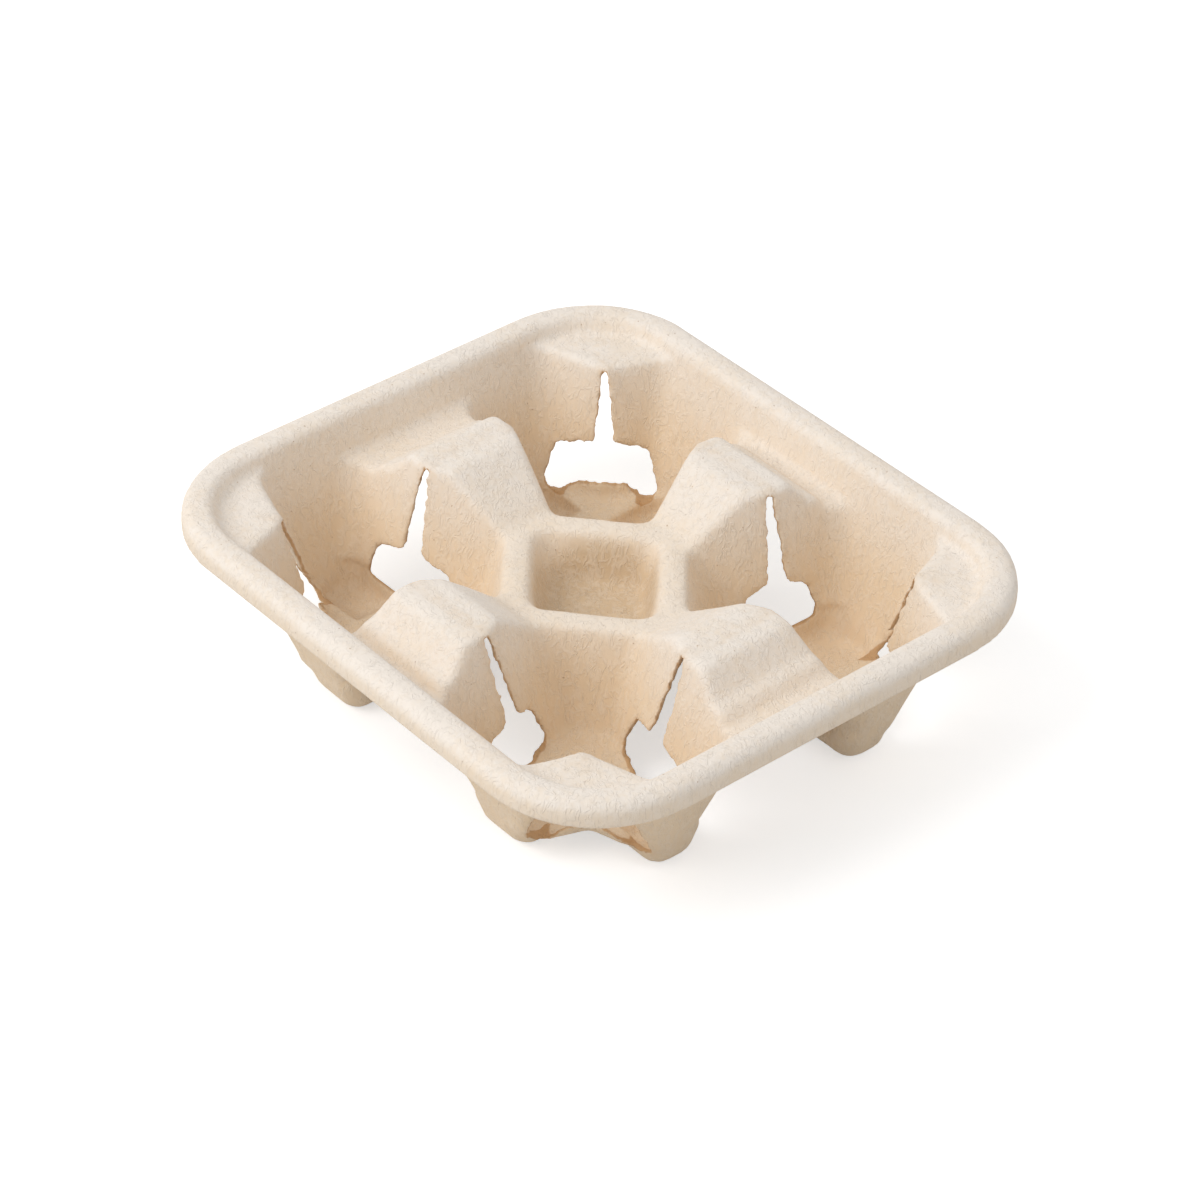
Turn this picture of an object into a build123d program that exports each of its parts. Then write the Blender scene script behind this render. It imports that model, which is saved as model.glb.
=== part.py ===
from build123d import *
from math import cos, radians, sin, tan
import os

# Moulded pulp carrier for four cups: one pressed shell of even thickness.
# X runs along the longer side, Z is up, the feet stand on Z = 0.

# Overall size and the shell
LENGTH = 225.5
WIDTH = 198.0
HEIGHT = 57.0
WALL = 1.8
DRAFT = 18.0

# Rolled rim: a half-round bead with a turned-down skirt
RIM_CORNER = 41.0
BEAD = 10.0
SKIRT = 9.0
SKIRT_WALL = 2.2
BEAD_OUTER_ROUND = 4.5
BEAD_INNER_ROUND = 4.0

# Levels of the inside
SHELF_Z = 51.0
VALLEY_Z = 43.0
FRAME_Z = 41.5
HUMP_Z = 55.8
FLOOR_Z = 8.0
SHELF_SIDE = 3.2

# Bridges between the cup wells, along X and along Y, measured from the middle
BRIDGE_HALF = 17.7
BRIDGE_FOOT = (34.0, 32.0)
BRIDGE_TOP_IN = (56.0, 50.5)
BRIDGE_TOP_OUT = (72.5, 66.0)
STEP_IN = (80.0, 72.6)
STEP_OUT = (83.6, 75.8)
STEP_Z = 47.0
STEP_FALL = 0.5
VALLEY_IN = (87.6, 79.2)
BRIDGE_ROUND = 3.2
ARM_HALF = 30.6

# Cup well, seen from above at the height of the rim
PANEL_DISTANCE = 24.0
PANEL_ANGLE = 49.0
PINCH_X = (63.7, 24.4)
PINCH_Y = (57.6, 28.1)
CORNER_PINCH = (76.6, 68.0)
SIDE_PANEL_END = (60.0, 69.0)
WELL_ROUND = 8.0
PANEL_ROUND = 5.0
PINCH_ROUND = 3.6
WELL_BOTTOM_ROUND = 4.0

# Feet: two hollows below the floor of each well, against its outer walls
FOOT_DEPTH = 24.0
FOOT_SPAN_X = (31.5, 47.5)
FOOT_SPAN_Y = (32.0, 54.0)
FOOT_DRAFT = 5.0
FOOT_RAMP = 33.0
FOOT_ROUND = 5.5
FOOT_FLOOR_ROUND = 5.2
FOOT_OVERLAP = 1.0

# Centre pocket, a lozenge whose sides face the wells
POCKET_HALF = (31.5, 27.4)
POCKET_FLOOR_Z = 25.0
POCKET_ROUND = 6.0
POCKET_FLOOR_ROUND = 4.0
POCKET_RISE = 3.0

# Slits that let the well walls spread, each running down into an opening at the foot of the wall
SLIT_TOP = 1.4
BRIDGE_SLIT_TOP_Z = 54.6
CORNER_SLIT_TOP_Z = 49.6
SLIT_FOOT_Z = 25.6
X_SLIT = (-3.0, 4.0)
Y_SLIT = (-4.2, 1.8)
CORNER_SLIT = (-3.6, 2.8)
SHOULDER_Z = 22.4
OPENING_FOOT_Z = 9.8

# Half widths of the openings at the shoulder and at the foot, on the side of negative and of positive slit
X_OPENING = ((14.5, 18.2), (15.0, 20.0))
Y_OPENING = ((11.5, 16.2), (10.0, 12.8))
CORNER_OPENING = ((15.0, 19.2), (16.4, 20.6))
CORNER_SHOULDER_Z = 21.4
CORNER_LIP_HALF = 8.2
CORNER_LIP_Z = 11.2
CORNER_LIP_RISE = 2.0
CORNER_NOTCH_Z = 7.0
SHOULDER_ROUND = 3.4
OPENING_ROUND = 2.4
CUT_BACK = 2.8
CUT_CLEAR = 1.6
TOUCH = 0.01

# Roundings of the edges seen from above
POCKET_EDGE = 3.0
BRIDGE_EDGE = 2.0
SHELF_FOOT = 2.5


def meet(n1, d1, n2, d2):
    # Point where two lines n.p = d cross
    det = n1[0] * n2[1] - n1[1] * n2[0]
    return ((d1 * n2[1] - d2 * n1[1]) / det, (n1[0] * d2 - n2[0] * d1) / det)


def normal(angle):
    return (cos(radians(angle)), cos(radians(90 - angle)))


def well_corners():
    # Nine corners of the well outline at rim height, in the (+X, +Y) quarter
    wall_x, wall_y = LENGTH / 2 - BEAD, WIDTH / 2 - BEAD
    pinch_x = (PINCH_X[0], BRIDGE_HALF)
    pinch_y = (BRIDGE_HALF, PINCH_Y[0])
    panel = normal(PANEL_ANGLE)
    side_x = normal(90 + PINCH_X[1])
    side_y = normal(-PINCH_Y[1])
    foot_x = meet(panel, PANEL_DISTANCE, side_x, side_x[0] * pinch_x[0] + side_x[1] * pinch_x[1])
    foot_y = meet(panel, PANEL_DISTANCE, side_y, side_y[0] * pinch_y[0] + side_y[1] * pinch_y[1])
    return [
        (wall_x, BRIDGE_HALF), pinch_x, foot_x, foot_y, pinch_y, (BRIDGE_HALF, wall_y),
        (SIDE_PANEL_END[1], wall_y), CORNER_PINCH, (wall_x, SIDE_PANEL_END[0]),
    ]


def uprights(part):
    # Edges of a drafted block that run from its top to its bottom
    return part.edges().filter_by(lambda e: abs(e.tangent_at(0.5).Z) > sin(radians(45)))


def upright_near(part, points, z):
    # Upright edges that start nearest to the given corners
    def nearest(tip):
        return min(uprights(part), key=lambda e: min((v.center() - tip).length for v in e.vertices()))

    return ShapeList(nearest(Vector(x, y, z)) for x, y in points)


def well(skin):
    # Drafted block that hollows out one cup well, grown by skin on all sides
    grow = skin / cos(radians(DRAFT))
    with BuildPart() as block:
        with BuildSketch(Plane.XY.offset(HEIGHT)) as outline:
            with BuildLine():
                Polyline(*well_corners(), close=True)
            make_face()
            if grow:
                offset(amount=grow, kind=Kind.INTERSECTION)
        tips = [(v.X, v.Y) for v in outline.vertices()]
        extrude(amount=-(HEIGHT - FLOOR_Z + skin), taper=DRAFT)

        def nearest(corner):
            return min(tips, key=lambda p: (p[0] - corner[0]) ** 2 + (p[1] - corner[1]) ** 2)

        c = [nearest(p) for p in well_corners()]
        fillet(upright_near(block.part, [c[0], c[5], c[6], c[8]], HEIGHT), WELL_ROUND + skin)
        fillet(upright_near(block.part, [c[2], c[3]], HEIGHT), PANEL_ROUND + skin)
        fillet(upright_near(block.part, [c[1], c[4], c[7]], HEIGHT), PINCH_ROUND - skin)
        fillet(block.faces().sort_by(Axis.Z)[0].edges(), WELL_BOTTOM_ROUND + skin)
    return block.part


def foot(skin, along_x):
    # Hollow for one foot, its outer side in line with the wall of the well
    wall = (LENGTH if along_x else WIDTH) / 2 - BEAD
    low, high = FOOT_SPAN_X if along_x else FOOT_SPAN_Y
    grow = skin / cos(radians(DRAFT))

    def section(z):
        rise = z - FLOOR_Z
        outer = wall + grow - (HEIGHT - z) * tan(radians(DRAFT))
        deep = FOOT_DEPTH + rise / tan(radians(FOOT_RAMP)) + skin / sin(radians(FOOT_RAMP))
        spread = skin / cos(radians(FOOT_DRAFT)) + rise * tan(radians(FOOT_DRAFT))
        across = ((outer - deep, outer), (low - spread, high + spread))
        (x0, x1), (y0, y1) = across if along_x else across[::-1]
        with BuildSketch(Plane.XY.offset(z)) as face:
            with Locations(((x0 + x1) / 2, (y0 + y1) / 2)):
                Rectangle(x1 - x0, y1 - y0)
        return face.sketch

    with BuildPart() as hollow:
        loft([section(WALL - skin), section(FLOOR_Z + WELL_BOTTOM_ROUND + FOOT_OVERLAP)])
        outer_side = hollow.faces().sort_by(Axis.X if along_x else Axis.Y)[-1]
        fillet(uprights(outer_side), FOOT_ROUND + skin)
        fillet(hollow.faces().sort_by(Axis.Z)[0].edges(), FOOT_FLOOR_ROUND + skin)
    return hollow.part


def arm(skin, along_x):
    # Space above the two bridges on one axis, drawn as one profile and drawn across them
    i = 0 if along_x else 1
    wall = (LENGTH if along_x else WIDTH) / 2 - BEAD
    lean = (HEIGHT - VALLEY_Z) * tan(radians(DRAFT))
    half = [
        (BRIDGE_FOOT[i], FRAME_Z), (BRIDGE_TOP_IN[i], HUMP_Z), (BRIDGE_TOP_OUT[i], HUMP_Z),
        (STEP_IN[i], STEP_Z + STEP_FALL), (STEP_OUT[i], STEP_Z), (VALLEY_IN[i], VALLEY_Z),
        (wall - lean, VALLEY_Z),
    ]
    outline = [(-wall, HEIGHT)] + [(-a, z) for a, z in half[::-1]] + half + [(wall, HEIGHT)]
    with BuildPart() as space:
        with BuildSketch(Plane.XZ if along_x else Plane.YZ) as profile:
            with BuildLine():
                Polyline(*outline, close=True)
            make_face()
            below_rim = [v for v in profile.vertices() if v.Y < HEIGHT - TOUCH]
            fillet([v for v in below_rim if abs(abs(v.X) - VALLEY_IN[i]) > TOUCH], BRIDGE_ROUND)
            if skin:
                offset(amount=skin, kind=Kind.INTERSECTION)
        extrude(amount=ARM_HALF, both=True)
    return space.part


def recess(skin):
    # Shallow drafted recess inside the bead, down to the shelf in one corner
    grow = skin / cos(radians(DRAFT))
    start = BRIDGE_HALF + SHELF_SIDE
    with BuildPart() as dish:
        with BuildSketch(Plane.XY.offset(HEIGHT)):
            inset = BEAD - grow
            RectangleRounded(LENGTH - 2 * inset, WIDTH - 2 * inset, RIM_CORNER - inset)
        extrude(amount=-(HEIGHT - SHELF_Z + skin), taper=DRAFT)
        fillet(dish.faces().sort_by(Axis.Z)[0].edges(), SHELF_FOOT + skin)
        with Locations((start, start, 0)):
            Box(LENGTH, WIDTH, 2 * HEIGHT, align=(Align.MIN, Align.MIN, Align.MIN), mode=Mode.INTERSECT)
    return dish.part


def pocket(skin):
    # Lozenge pocket in the middle, started a little above the frame round it
    grow = skin / cos(radians(DRAFT)) + POCKET_RISE * tan(radians(DRAFT))
    a, b = POCKET_HALF
    with BuildPart() as hollow:
        with BuildSketch(Plane.XY.offset(FRAME_Z + POCKET_RISE)):
            with BuildLine():
                Polyline((a, 0), (0, b), (-a, 0), (0, -b), close=True)
            make_face()
            offset(amount=grow, kind=Kind.INTERSECTION)
        extrude(amount=-(FRAME_Z + POCKET_RISE - POCKET_FLOOR_Z + skin), taper=DRAFT)
        fillet(uprights(hollow.part), POCKET_ROUND + skin)
        fillet(hollow.faces().sort_by(Axis.Z)[0].edges(), POCKET_FLOOR_ROUND + skin)
    return hollow.part


def nearest_edge(body, x, y, z):
    return min(body.edges(), key=lambda e: (e.position_at(0.5) - Vector(x, y, z)).length)


def rim_edges(body, skin):
    # Outer and inner edge of the flat on top of the bead, without the two cut ends
    flat = body.faces().filter_by(Plane.XY).sort_by(Axis.Z)[-1]
    outer, inner = [], []
    for e in flat.edges():
        p = e.position_at(0.5)
        gap_x, gap_y = LENGTH / 2 - skin - p.X, WIDTH / 2 - skin - p.Y
        if min(p.X, p.Y) > TOUCH:
            round_corner = e.geom_type == GeomType.CIRCLE and e.radius > RIM_CORNER - skin - TOUCH
            (outer if min(gap_x, gap_y) < TOUCH or round_corner else inner).append(e)
    return outer, inner


def under(skin):
    # One quarter of everything below the inside surface, that surface moved down by skin
    with BuildPart() as body:
        with BuildSketch(Plane.XY.offset(-skin)):
            RectangleRounded(LENGTH - 2 * skin, WIDTH - 2 * skin, RIM_CORNER - skin)
            Rectangle(LENGTH, WIDTH, align=Align.MIN, mode=Mode.INTERSECT)
        extrude(amount=HEIGHT)
        for hollow in (recess(skin), arm(skin, True), arm(skin, False), pocket(skin), well(skin)):
            add(hollow, mode=Mode.SUBTRACT)
        for along_x in (True, False):
            add(foot(skin, along_x), mode=Mode.SUBTRACT)
        if not skin:
            out = PANEL_DISTANCE + (HEIGHT - FRAME_Z) * tan(radians(DRAFT))
            ux, uy = normal(PANEL_ANGLE)
            fillet(nearest_edge(body, out * ux, out * uy, FRAME_Z), BRIDGE_EDGE)
            a, b = POCKET_HALF
            fillet(nearest_edge(body, a / 2, b / 2, FRAME_Z), POCKET_EDGE)
        fillet(rim_edges(body, skin)[0], BEAD_OUTER_ROUND - skin)
        fillet(rim_edges(body, skin)[1], BEAD_INNER_ROUND - skin)
    return body.part


def pinch(place):
    # Upright plane through one pinch, given by its place in the well outline, looking into the well
    before, corner, after = well_corners()[place - 1:place + 2]

    def inward(p, q):
        return Vector(q[1] - p[1], p[0] - q[0], 0).normalized()

    look = (inward(before, corner) + inward(corner, after)).normalized()
    return Plane(origin=(corner[0], corner[1], 0), x_dir=Vector(0, 0, 1).cross(look), z_dir=look)


def cut_through(plane, top_z, slit, sides, notched):
    # Slit and opening in one outline, drawn upright and pushed through the wall
    def flank(side, foot):
        shoulder, low = side
        sign = 1 if foot > 0 else -1
        points = [(sign * SLIT_TOP / 2, top_z), (foot, SLIT_FOOT_Z)]
        if notched:
            inner_low = (low + CORNER_LIP_HALF) / 2
            points += [(sign * shoulder, CORNER_SHOULDER_Z), (sign * low, CORNER_NOTCH_Z)]
            return points + [(sign * inner_low, CORNER_NOTCH_Z), (sign * CORNER_LIP_HALF, CORNER_LIP_Z)]
        return points + [(sign * shoulder, SHOULDER_Z), (sign * low, OPENING_FOOT_Z)]

    reach = (HEIGHT - FLOOR_Z) * tan(radians(DRAFT)) + CUT_CLEAR
    with BuildPart() as knife:
        with BuildSketch(plane.offset(-CUT_BACK)) as face:
            with BuildLine():
                crest = [(0, CORNER_LIP_Z + CORNER_LIP_RISE)] if notched else []
                Polyline(*flank(sides[0], slit[0]), *crest, *flank(sides[1], slit[1])[::-1], close=True)
            make_face()
            middle = (SLIT_FOOT_Z + OPENING_FOOT_Z) / 2
            fillet([v for v in face.vertices() if middle < v.Y < top_z - SLIT_TOP], SHOULDER_ROUND)
            fillet([v for v in face.vertices() if v.Y < middle], OPENING_ROUND)
        extrude(amount=CUT_BACK + reach, dir=plane.z_dir)
    return knife.part


with BuildPart() as quarter:
    add(under(0))
    add(under(WALL), mode=Mode.SUBTRACT)
    with BuildSketch():
        Rectangle(LENGTH + CUT_CLEAR, WIDTH + CUT_CLEAR)
        rim = (LENGTH - 2 * SKIRT_WALL, WIDTH - 2 * SKIRT_WALL, RIM_CORNER - SKIRT_WALL)
        RectangleRounded(*rim, mode=Mode.SUBTRACT)
    extrude(amount=HEIGHT - SKIRT, mode=Mode.SUBTRACT)
    add(cut_through(pinch(1), BRIDGE_SLIT_TOP_Z, X_SLIT, X_OPENING, False), mode=Mode.SUBTRACT)
    add(cut_through(pinch(4), BRIDGE_SLIT_TOP_Z, Y_SLIT, Y_OPENING, False), mode=Mode.SUBTRACT)
    add(cut_through(pinch(7), CORNER_SLIT_TOP_Z, CORNER_SLIT, CORNER_OPENING, True), mode=Mode.SUBTRACT)

with BuildPart() as carrier:
    add(quarter.part)
    mirror(about=Plane.YZ)
    mirror(about=Plane.XZ)

carrier.part.label = "carrier"
os.makedirs("parts", exist_ok=True)
export_step(carrier.part, "parts/carrier.step")
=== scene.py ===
import math

import bmesh
import bpy
import numpy as np
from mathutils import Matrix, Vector, noise
from mathutils.bvhtree import BVHTree

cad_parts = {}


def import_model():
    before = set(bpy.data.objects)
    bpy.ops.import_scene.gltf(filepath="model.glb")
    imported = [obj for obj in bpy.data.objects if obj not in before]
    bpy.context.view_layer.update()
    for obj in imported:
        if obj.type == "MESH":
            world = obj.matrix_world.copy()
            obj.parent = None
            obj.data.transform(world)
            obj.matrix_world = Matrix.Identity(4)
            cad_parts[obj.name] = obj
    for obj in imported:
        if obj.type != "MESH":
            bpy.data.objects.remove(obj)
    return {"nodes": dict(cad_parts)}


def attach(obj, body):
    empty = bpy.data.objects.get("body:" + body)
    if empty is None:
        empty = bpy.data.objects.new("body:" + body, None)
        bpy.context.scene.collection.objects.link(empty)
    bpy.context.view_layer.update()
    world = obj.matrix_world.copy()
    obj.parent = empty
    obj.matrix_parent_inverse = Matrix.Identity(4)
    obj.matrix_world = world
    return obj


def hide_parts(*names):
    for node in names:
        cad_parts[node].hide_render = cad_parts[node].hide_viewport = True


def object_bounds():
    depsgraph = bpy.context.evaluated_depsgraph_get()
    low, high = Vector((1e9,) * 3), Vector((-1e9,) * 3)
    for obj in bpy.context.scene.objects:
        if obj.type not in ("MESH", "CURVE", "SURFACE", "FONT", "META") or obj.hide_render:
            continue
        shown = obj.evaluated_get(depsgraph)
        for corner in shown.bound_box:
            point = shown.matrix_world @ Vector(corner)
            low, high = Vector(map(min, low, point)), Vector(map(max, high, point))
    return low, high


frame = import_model()
cad_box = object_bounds()

# Camera: where it stands, what it looks at, how far it sees, and its lens, fitted to the rim and the feet
CAMERA_AZIMUTH = 50.39
CAMERA_ELEVATION = 37.27
CAMERA_DISTANCE = 1.28976
CAMERA_TARGET = Vector((0.00486, -0.00186, 0.0340))
CAMERA_REACH = 20.0
SENSOR = 36.0
LENS = 122.41

# Light: a pale room and one large lamp at the front left
ROOM = 0.68
KEY_PLACE = (-0.75, -1.60, 1.80)
KEY_SIZE = 1.9
KEY_POWER = 29.0

# Floor: half its side, how far it lies under the feet, its paleness and the white added where it is seen
FLOOR_HALF = 3.0
FLOOR_DROP = 0.0002
FLOOR_ALBEDO = 0.72
FLOOR_LIFT = 0.54

# Shell mesh: size of the remeshing cells, rounds of softening over the skin and over the folds, triangles
VOXEL = 0.0007
SOFTEN_STEP = 0.5
SKIN_ROUNDS = 8
FOLD_ROUNDS = 16
TRIANGLES = 190000

# What the softening of the folds leaves alone: the rim, the feet, and the pulp close to a torn edge
RIM_WIDTH = 0.013
FOOT_HEIGHT = 0.011
FOLD_FADE = 0.0045
TORN_GUARD = 0.3

# Unevenness of the pressed pulp: slow swells, and fine lumps in a few levels of detail
SWELL_SIZE = 0.014
SWELL_DEPTH = 0.00018
LUMP_SIZE = 0.0028
LUMP_DEPTH = 0.00007
LUMP_FADE = 0.8
LUMP_STEP = 2.0
LUMP_LEVELS = 2

# Enclosure of each point of the shell, from rays to its neighbours
RAYS = 64
RAY_REACH = 0.05
RAY_LIFT = 0.0004
RAY_GRAZE = 0.15

# Cut bands: the narrow faces, convex at their borders, that the slits and openings leave
WELD = 2e-6
SHARP_ANGLE = math.radians(22)
BAND_WIDTH = (0.0013, 0.0026)
BAND_CONVEX = 0.9
BAND_AREA = 0.0006

# Torn edges: how far the tears and the stain reach, the size and depth of the tears, and their seed
TORN_REACH = 0.0026
STAIN_REACH = 0.0045
TEAR_SIZE = 0.0030
TEAR_DEPTH = 0.0007
FINE_TEAR_SIZE = TEAR_SIZE / 3
FINE_TEAR_SHARE = 0.4
TEAR_SEED = 7

# Colours of the pulp, as linear RGB, with painted highlight and painted shade among them
# Pale fibres, and painted highlight on the high, open, upward-facing crests
HIGHLIGHT_AND_FIBRE = (0.880, 0.800, 0.715)
# The pulp's own colour on open walls, also used for the warmer patches
WALL = (0.830, 0.655, 0.460)
# Painted shade in enclosed recesses, and the stain round torn edges
SHADE_AND_STAIN = (0.690, 0.490, 0.295)
# Painted shade deep in the middle pocket
POCKET_SHADE_COLOUR = (0.650, 0.490, 0.320)
TORN = (0.560, 0.320, 0.140)
SPECK = (0.400, 0.230, 0.110)

# Where one colour gives way to the next, the painted highlight and painted shade: by height, by openness,
# by slope, and round the middle pocket
HIGHLIGHT_RISE = (0.022, 0.054)
HIGHLIGHT_OPEN = (0.35, 0.80)
SHADE_OPEN = (0.20, 0.75)
HIGHLIGHT_SLOPE = (-0.1, 0.7)
HIGHLIGHT_ON_SIDES = 0.45
POCKET_SHADE_RADIUS = (0.019, 0.025)
POCKET_SHADE_RISE = (0.034, 0.0425)

# Noises: their middle value, then for each its lumps to the metre, levels of detail, roughness, distortion
NOISE_MIDDLE = 0.5
CLOUD = (45.0, 3.0, 0.55)
MOTTLE = (420.0, 4.0, 0.65)
GRAIN = (2200.0, 3.0, 0.6)
BEND = (260.0, 1.0)
FIBRE = (470.0, 1.0, 0.4, 0.6)
FIBRE_BREAK = (329.0, 0.0)
SPECK_PATCH = (130.0, 0.0)

# Warmer patches: the band of tone that they cover, and how strong they are
PATCH_TONE = (0.42, 0.64)
PATCH_TINT = 0.30

# Fibres: how far they bend, their length and breadth, where they break off, the ways they run, how pale
BEND_REACH = 0.0022
FIBRE_STRETCH = 2.6
FIBRE_WIDTH = 0.11
FIBRE_BROKEN = (0.42, 0.60)
FIBRE_TURNS = ((0, 0, 0), (80, 0, 30), (75, 0, -65))
FIBRE_TINT = 0.20

# Specks of bark: how many to the metre, their size, where they gather, and how dark
SPECKS = 290.0
SPECK_SIZE = (0.04, 0.10)
SPECK_GATHER = (0.45, 0.62)
SPECK_TINT = 0.55

# Torn pulp: the stain round an edge and the brown of the torn face
STAIN_TINT = 0.45
TORN_CORE = (0.76, 0.95)
TORN_TINT = 0.85

# Relief and sheen of the surface
FIBRE_HEIGHT = 0.75
GRAIN_HEIGHT = 0.35
MOTTLE_HEIGHT = 0.45
SPECK_HEIGHT = 0.8
BUMP_STRENGTH = 0.85
BUMP_DISTANCE = 0.00021
ROUGHNESS = (0.66, 0.84)
ROUGH_TONE = (0.35, 0.65)
SPECULAR = 0.35
SHEEN = 0.06
SHEEN_ROUGHNESS = 0.5


def placed(name, data):
    # A new object in the scene, with the given data
    thing = bpy.data.objects.new(name, data)
    bpy.context.scene.collection.objects.link(thing)
    return thing


def aim(thing, direction):
    # A camera or a lamp turned to look along the direction
    thing.rotation_mode = "QUATERNION"
    thing.rotation_quaternion = direction.to_track_quat("-Z", "Y")


def camera():
    turn, tilt = math.radians(CAMERA_AZIMUTH), math.radians(CAMERA_ELEVATION)
    back = Vector((math.sin(turn) * math.cos(tilt), -math.cos(turn) * math.cos(tilt), math.sin(tilt)))
    data = bpy.data.cameras.new("camera")
    data.sensor_width = SENSOR
    data.lens = LENS
    data.clip_end = CAMERA_REACH
    eye = placed("camera", data)
    eye.location = CAMERA_TARGET + back * CAMERA_DISTANCE
    aim(eye, -back)
    bpy.context.scene.camera = eye


def key_lamp():
    data = bpy.data.lights.new("key", "AREA")
    data.shape = "DISK"
    data.size = KEY_SIZE
    data.energy = KEY_POWER
    lamp = placed("key", data)
    lamp.location = KEY_PLACE
    aim(lamp, CAMERA_TARGET - lamp.location)


def put(tree, socket, value):
    # A value or another node's output, into one socket
    if isinstance(value, bpy.types.NodeSocket):
        tree.links.new(value, socket)
    else:
        socket.default_value = value


def math_node(tree, operation, *values):
    node = tree.nodes.new("ShaderNodeMath")
    node.operation = operation
    for socket, value in zip(node.inputs, values):
        put(tree, socket, value)
    return node.outputs[0]


def vector_node(tree, operation, *values):
    node = tree.nodes.new("ShaderNodeVectorMath")
    node.operation = operation
    for socket, value in zip(node.inputs, values):
        put(tree, socket, value)
    return node.outputs


def ramp_node(tree, value, low, high, to_low=0.0, to_high=1.0):
    # Smooth step of a value from low to high
    node = tree.nodes.new("ShaderNodeMapRange")
    node.interpolation_type = "SMOOTHSTEP"
    put(tree, node.inputs["Value"], value)
    node.inputs["From Min"].default_value = low
    node.inputs["From Max"].default_value = high
    node.inputs["To Min"].default_value = to_low
    node.inputs["To Max"].default_value = to_high
    return node.outputs["Result"]


def mix_colour(tree, factor, under, over):
    node = tree.nodes.new("ShaderNodeMix")
    node.data_type = "RGBA"
    sockets = {socket.identifier: socket for socket in node.inputs}
    for name, value in (("Factor_Float", factor), ("A_Color", under), ("B_Color", over)):
        put(tree, sockets[name], (*value, 1.0) if isinstance(value, tuple) else value)
    return next(socket for socket in node.outputs if socket.identifier == "Result_Color")


def noise_node(tree, place, scale, detail, roughness=0.5, distortion=0.0):
    node = tree.nodes.new("ShaderNodeTexNoise")
    put(tree, node.inputs["Vector"], place)
    node.inputs["Scale"].default_value = scale
    node.inputs["Detail"].default_value = detail
    node.inputs["Roughness"].default_value = roughness
    node.inputs["Distortion"].default_value = distortion
    return node.outputs


def attribute(tree, name):
    node = tree.nodes.new("ShaderNodeAttribute")
    node.attribute_name = name
    return node.outputs["Fac"]


def upward_part(tree, vector):
    node = tree.nodes.new("ShaderNodeSeparateXYZ")
    put(tree, node.inputs[0], vector)
    return node.outputs["Z"]


def seen_directly(tree):
    # 1 for rays that show the background itself: camera, glossy and transmission
    path = tree.nodes.new("ShaderNodeLightPath")
    either = math_node(tree, "MAXIMUM", path.outputs["Is Camera Ray"], path.outputs["Is Glossy Ray"])
    return math_node(tree, "MAXIMUM", either, path.outputs["Is Transmission Ray"])


def world():
    sky = bpy.data.worlds.new("studio")
    bpy.context.scene.world = sky
    sky.use_nodes = True
    tree = sky.node_tree
    background = tree.nodes["Background"]
    background.inputs["Color"].default_value = (1.0, 1.0, 1.0, 1.0)
    level = tree.nodes.new("ShaderNodeMapRange")
    level.inputs["To Min"].default_value = ROOM
    level.inputs["To Max"].default_value = 1.0
    put(tree, level.inputs["Value"], seen_directly(tree))
    put(tree, background.inputs["Strength"], level.outputs["Result"])


def floor_material():
    material = bpy.data.materials.new("floor")
    material.use_nodes = True
    tree = material.node_tree
    tree.nodes.clear()
    out = tree.nodes.new("ShaderNodeOutputMaterial")
    matt = tree.nodes.new("ShaderNodeBsdfDiffuse")
    matt.inputs["Color"].default_value = (FLOOR_ALBEDO, FLOOR_ALBEDO, FLOOR_ALBEDO, 1.0)
    glow = tree.nodes.new("ShaderNodeEmission")
    both = tree.nodes.new("ShaderNodeAddShader")
    put(tree, glow.inputs["Strength"], math_node(tree, "MULTIPLY", seen_directly(tree), FLOOR_LIFT))
    put(tree, both.inputs[0], matt.outputs[0])
    put(tree, both.inputs[1], glow.outputs[0])
    put(tree, out.inputs["Surface"], both.outputs[0])
    return material


def floor():
    corners = [(FLOOR_HALF * x, FLOOR_HALF * y, 0) for x, y in ((-1, -1), (1, -1), (1, 1), (-1, 1))]
    mesh = bpy.data.meshes.new("floor")
    mesh.from_pydata(corners, [], [(0, 1, 2, 3)])
    mesh.materials.append(floor_material())
    sheet = placed("floor", mesh)
    sheet.location.z = -FLOOR_DROP


def smooth_group(first, seen):
    # The faces joined to one by shallow edges, with the length of their border and of its convex part
    group, queue = [], [first]
    border, convex = 0.0, 0.0
    seen.add(first)
    while queue:
        face = queue.pop()
        group.append(face)
        for edge in face.edges:
            if edge.calc_face_angle() > SHARP_ANGLE:
                border += edge.calc_length()
                convex += edge.calc_length() * edge.is_convex
                continue
            for other in edge.link_faces:
                if other not in seen:
                    seen.add(other)
                    queue.append(other)
    return group, border, convex


def is_cut_band(group, border, convex):
    area = sum(face.calc_area() for face in group)
    narrow = BAND_WIDTH[0] * border < 2.0 * area < BAND_WIDTH[1] * border
    return narrow and convex > BAND_CONVEX * border and area < BAND_AREA


def cut_faces(node):
    # Search tree of the narrow bands that the slits and openings leave in the shell
    bm = bmesh.new()
    bm.from_mesh(node.data)
    bmesh.ops.remove_doubles(bm, verts=bm.verts, dist=WELD)
    seen, bands = set(), set()
    for first in bm.faces:
        if first not in seen:
            group, border, convex = smooth_group(first, seen)
            if is_cut_band(group, border, convex):
                bands.update(group)
    bmesh.ops.delete(bm, geom=[face for face in bm.faces if face not in bands], context="FACES")
    tree = BVHTree.FromBMesh(bm)
    bm.free()
    return tree


def evaluated_mesh(shell):
    # The shell's mesh with its modifiers applied and taken off
    graph = bpy.context.evaluated_depsgraph_get()
    mesh = bpy.data.meshes.new_from_object(shell.evaluated_get(graph))
    shell.modifiers.clear()
    return mesh


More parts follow.
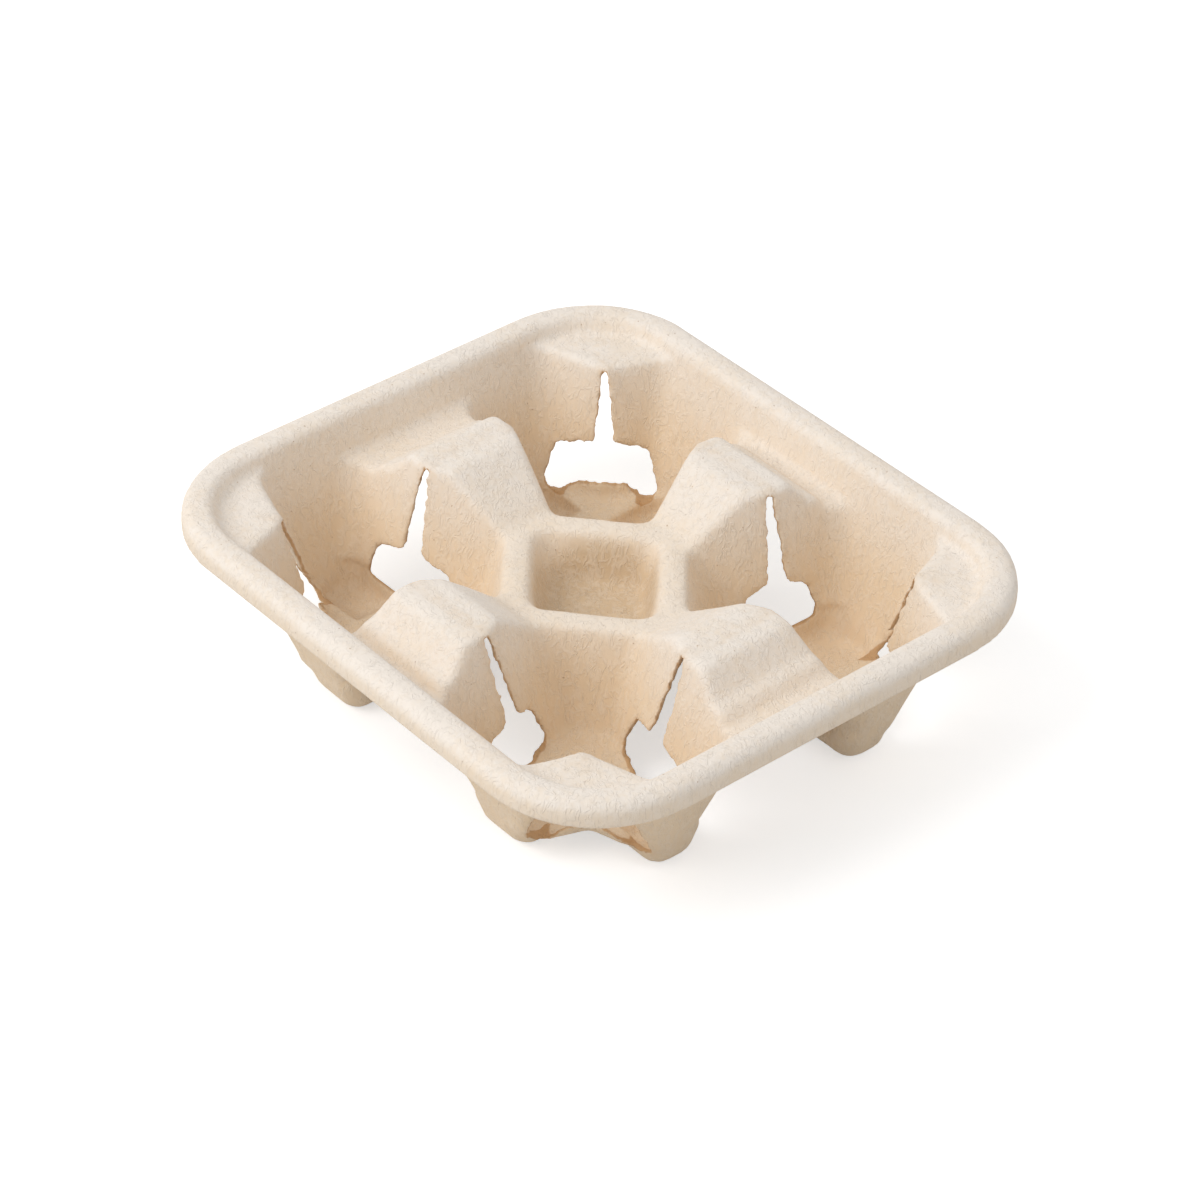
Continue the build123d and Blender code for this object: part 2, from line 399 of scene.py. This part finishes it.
def softened(mesh, free, rounds):
    # Each point drawn towards the middle of its neighbours, as far as it is free to move
    count = len(mesh.vertices)
    places = np.empty(count * 3)
    mesh.vertices.foreach_get("co", places)
    places = places.reshape(count, 3)
    ends = np.empty(len(mesh.edges) * 2, dtype=np.int64)
    mesh.edges.foreach_get("vertices", ends)
    start, end = ends.reshape(-1, 2).T
    degree = np.bincount(start, minlength=count) + np.bincount(end, minlength=count)
    for _ in range(rounds):
        middle = np.empty_like(places)
        for axis in range(3):
            along = places[:, axis]
            total = np.bincount(start, along[end], count) + np.bincount(end, along[start], count)
            middle[:, axis] = total / degree
        places += SOFTEN_STEP * free[:, None] * (middle - places)
    mesh.vertices.foreach_set("co", places.ravel())
    mesh.update()


def fold_freedom(mesh, torn_tree):
    # 1 on the broad folds, 0 at torn edges, the rolled rim and the bottoms of the feet
    reach_x, reach_y, _ = cad_box[1]
    free = np.zeros(len(mesh.vertices))
    for index, vertex in enumerate(mesh.vertices):
        x, y, z = vertex.co
        to_rim = min(reach_x - abs(x), reach_y - abs(y)) - RIM_WIDTH
        inner = min(to_rim, z - FOOT_HEIGHT) / FOLD_FADE
        if inner > 0.0:
            gap = torn_tree.find_nearest(vertex.co)[3]
            free[index] = min(1.0, inner, max(0.0, gap / FOLD_FADE - TORN_GUARD))
    return free


def remeshed_shell(node, torn_tree):
    # The pressed shell as one even skin of small faces, its folds softened
    shell = placed("pulp_shell", node.data.copy())
    shell.modifiers.clear()
    remesh = shell.modifiers.new("remesh", "REMESH")
    remesh.mode = "VOXEL"
    remesh.voxel_size = VOXEL
    shell.data = evaluated_mesh(shell)
    softened(shell.data, np.ones(len(shell.data.vertices)), SKIN_ROUNDS)
    softened(shell.data, fold_freedom(shell.data, torn_tree), FOLD_ROUNDS)
    triangles = sum(len(face.vertices) - 2 for face in shell.data.polygons)
    thin = shell.modifiers.new("thin", "DECIMATE")
    thin.ratio = min(1.0, TRIANGLES / triangles)
    shell.data = evaluated_mesh(shell)
    shell.data.name = "pulp_shell"
    return shell


def ray_directions():
    # Evenly spread directions over the whole sphere
    turn = math.pi * (3.0 - math.sqrt(5.0))
    for index in range(RAYS):
        z = 1.0 - (2.0 * index + 1.0) / RAYS
        ring = math.sqrt(1.0 - z * z)
        yield Vector((ring * math.cos(index * turn), ring * math.sin(index * turn), z))


def openness_at(vertex, tree, directions):
    # 1 in the free, towards 0 in a narrow recess
    origin = vertex.co + vertex.normal * RAY_LIFT
    light, full = 0.0, 0.0
    for direction in directions:
        weight = direction.dot(vertex.normal)
        if weight > RAY_GRAZE:
            gap = tree.ray_cast(origin, direction, RAY_REACH)[3]
            full += weight
            light += weight * (1.0 if gap is None else gap / RAY_REACH)
    return light / full


def store_openness(shell):
    # How open each point of the shell lies, kept with its mesh to steer the painted shade and painted
    # highlight of the material
    bm = bmesh.new()
    bm.from_mesh(shell.data)
    tree = BVHTree.FromBMesh(bm)
    bm.free()
    directions = list(ray_directions())
    openness = shell.data.attributes.new("openness", "FLOAT", "POINT")
    for vertex, value in zip(shell.data.vertices, openness.data):
        value.value = openness_at(vertex, tree, directions)


def roughen(shell, torn_tree):
    # Slow swells from the mould, fine lumps of pulp, and ragged tears at the cut faces
    mesh = shell.data
    torn = mesh.attributes.new("torn", "FLOAT", "POINT")
    stain = mesh.attributes.new("stain", "FLOAT", "POINT")
    normals = [vertex.normal.copy() for vertex in mesh.vertices]
    noise.seed_set(TEAR_SEED)
    for vertex, normal, torn_value, stain_value in zip(mesh.vertices, normals, torn.data, stain.data):
        place = vertex.co.copy()
        gap = torn_tree.find_nearest(place)[3]
        near = max(0.0, 1.0 - gap / TORN_REACH)
        torn_value.value = near
        stain_value.value = max(0.0, 1.0 - gap / STAIN_REACH)
        slow = noise.noise(place / SWELL_SIZE)
        fine = noise.fractal(place / LUMP_SIZE, LUMP_FADE, LUMP_STEP, LUMP_LEVELS)
        vertex.co += normal * (SWELL_DEPTH * slow + LUMP_DEPTH * fine)
        if near:
            broad_pull = noise.noise_vector(place / TEAR_SIZE)
            fine_pull = noise.noise_vector(place / FINE_TEAR_SIZE)
            vertex.co += (broad_pull + fine_pull * FINE_TEAR_SHARE) * (TEAR_DEPTH * near)
    mesh.polygons.foreach_set("use_smooth", [True] * len(mesh.polygons))
    mesh.update()


def painted_highlight_and_shade(tree, place):
    # Painted highlight: paler on the high, open crests; painted shade: browner where the surface is
    # enclosed
    openness = attribute(tree, "openness")
    normal = tree.nodes.new("ShaderNodeTexCoord").outputs["Normal"]
    upward = ramp_node(tree, upward_part(tree, normal), *HIGHLIGHT_SLOPE, HIGHLIGHT_ON_SIDES, 1.0)
    highlight = math_node(tree, "MULTIPLY", ramp_node(tree, upward_part(tree, place), *HIGHLIGHT_RISE), upward)
    highlight = math_node(tree, "MULTIPLY", highlight, ramp_node(tree, openness, *HIGHLIGHT_OPEN))
    low = mix_colour(tree, ramp_node(tree, openness, *SHADE_OPEN), SHADE_AND_STAIN, WALL)
    return mix_colour(tree, highlight, low, HIGHLIGHT_AND_FIBRE)


def pocket_painted_shade(tree, place, base):
    # Painted shade: the middle pocket stays browner up to its edge
    flat = vector_node(tree, "MULTIPLY", place, (1.0, 1.0, 0.0))["Vector"]
    across = vector_node(tree, "LENGTH", flat)["Value"]
    middle = ramp_node(tree, across, *POCKET_SHADE_RADIUS, 1.0, 0.0)
    deep = ramp_node(tree, upward_part(tree, place), *POCKET_SHADE_RISE, 1.0, 0.0)
    return mix_colour(tree, math_node(tree, "MULTIPLY", middle, deep), base, POCKET_SHADE_COLOUR)


def warm_patches(tree, place, mottle, base):
    # The mean of slow cloudiness and fine mottling, as warmer patches
    cloud = noise_node(tree, place, *CLOUD)["Fac"]
    tone = math_node(tree, "MULTIPLY", math_node(tree, "ADD", cloud, mottle), 0.5)
    amount = math_node(tree, "MULTIPLY", ramp_node(tree, tone, *PATCH_TONE), PATCH_TINT)
    return mix_colour(tree, amount, base, WALL)


def bent_place(tree, place):
    # The object's coordinates pushed about, so that straight patterns in them curl
    push = noise_node(tree, place, *BEND)["Color"]
    return vector_node(tree, "MULTIPLY_ADD", push, (BEND_REACH, BEND_REACH, BEND_REACH), place)["Vector"]


def strands(tree, place, turn):
    # Thin curved strands: the contour lines of a noise stretched along one way
    stretch = tree.nodes.new("ShaderNodeMapping")
    stretch.inputs["Rotation"].default_value = [math.radians(angle) for angle in turn]
    stretch.inputs["Scale"].default_value = (1.0, 1.0, 1.0 / FIBRE_STRETCH)
    put(tree, stretch.inputs["Vector"], place)
    stretched = stretch.outputs["Vector"]
    lines = noise_node(tree, stretched, *FIBRE)["Fac"]
    off = math_node(tree, "ABSOLUTE", math_node(tree, "SUBTRACT", lines, NOISE_MIDDLE))
    line = ramp_node(tree, off, 0.0, FIBRE_WIDTH, 1.0, 0.0)
    broken = ramp_node(tree, noise_node(tree, stretched, *FIBRE_BREAK)["Fac"], *FIBRE_BROKEN)
    return math_node(tree, "MULTIPLY", line, broken)


def all_strands(tree, bent):
    # Raised fibres, in each of their directions
    fibres = strands(tree, bent, FIBRE_TURNS[0])
    for turn in FIBRE_TURNS[1:]:
        fibres = math_node(tree, "MAXIMUM", fibres, strands(tree, bent, turn))
    return fibres


def specks(tree, place, bent):
    # Dark specks of bark, thicker in some places than in others
    cells = tree.nodes.new("ShaderNodeTexVoronoi")
    cells.inputs["Scale"].default_value = SPECKS
    put(tree, cells.inputs["Vector"], bent)
    dots = ramp_node(tree, cells.outputs["Distance"], *SPECK_SIZE, 1.0, 0.0)
    some = ramp_node(tree, noise_node(tree, place, *SPECK_PATCH)["Fac"], *SPECK_GATHER)
    return math_node(tree, "MULTIPLY", math_node(tree, "MULTIPLY", dots, some), SPECK_TINT)


def torn_tint(tree, mottle, base):
    # A mottled stain near the torn edges, and brown, broken pulp on the torn faces
    stain = ramp_node(tree, attribute(tree, "stain"), 0.0, 1.0)
    around = math_node(tree, "MULTIPLY", stain, math_node(tree, "MULTIPLY", mottle, STAIN_TINT))
    base = mix_colour(tree, around, base, SHADE_AND_STAIN)
    core = ramp_node(tree, attribute(tree, "torn"), *TORN_CORE)
    return mix_colour(tree, math_node(tree, "MULTIPLY", core, TORN_TINT), base, TORN)


def relief(tree, fibres, grain, mottle, speck):
    # Fibres, grain, mottling and specks stand out as bump
    height = math_node(tree, "MULTIPLY", grain, GRAIN_HEIGHT)
    height = math_node(tree, "MULTIPLY_ADD", fibres, FIBRE_HEIGHT, height)
    height = math_node(tree, "MULTIPLY_ADD", mottle, MOTTLE_HEIGHT, height)
    height = math_node(tree, "MULTIPLY_ADD", speck, SPECK_HEIGHT, height)
    bump = tree.nodes.new("ShaderNodeBump")
    bump.inputs["Strength"].default_value = BUMP_STRENGTH
    bump.inputs["Distance"].default_value = BUMP_DISTANCE
    put(tree, bump.inputs["Height"], height)
    return bump.outputs["Normal"]


def pulp_material():
    material = bpy.data.materials.new("pulp")
    material.use_nodes = True
    tree = material.node_tree
    shader = tree.nodes["Principled BSDF"]
    place = tree.nodes.new("ShaderNodeTexCoord").outputs["Object"]
    bent = bent_place(tree, place)
    mottle = noise_node(tree, place, *MOTTLE)["Fac"]
    grain = noise_node(tree, place, *GRAIN)["Fac"]
    fibres = all_strands(tree, bent)
    speck = specks(tree, place, bent)
    # The base colour starts from painted highlight and painted shade
    base = pocket_painted_shade(tree, place, painted_highlight_and_shade(tree, place))
    base = warm_patches(tree, place, mottle, base)
    base = mix_colour(tree, math_node(tree, "MULTIPLY", fibres, FIBRE_TINT), base, HIGHLIGHT_AND_FIBRE)
    base = mix_colour(tree, speck, base, SPECK)
    put(tree, shader.inputs["Base Color"], torn_tint(tree, mottle, base))
    put(tree, shader.inputs["Normal"], relief(tree, fibres, grain, mottle, speck))
    put(tree, shader.inputs["Roughness"], ramp_node(tree, mottle, *ROUGH_TONE, *ROUGHNESS))
    shader.inputs["Specular IOR Level"].default_value = SPECULAR
    shader.inputs["Sheen Weight"].default_value = SHEEN
    shader.inputs["Sheen Roughness"].default_value = SHEEN_ROUGHNESS
    return material


def pulp_carrier(node):
    # The carrier's dressed shell, in place of its plain solid
    torn_edges = cut_faces(node)
    shell = remeshed_shell(node, torn_edges)
    store_openness(shell)
    roughen(shell, torn_edges)
    shell.data.materials.clear()
    shell.data.materials.append(pulp_material())
    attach(shell, "root")
    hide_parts("carrier")


camera()
world()
key_lamp()
floor()
pulp_carrier(frame["nodes"]["carrier"])

bpy.context.scene.view_settings.view_transform = "Standard"
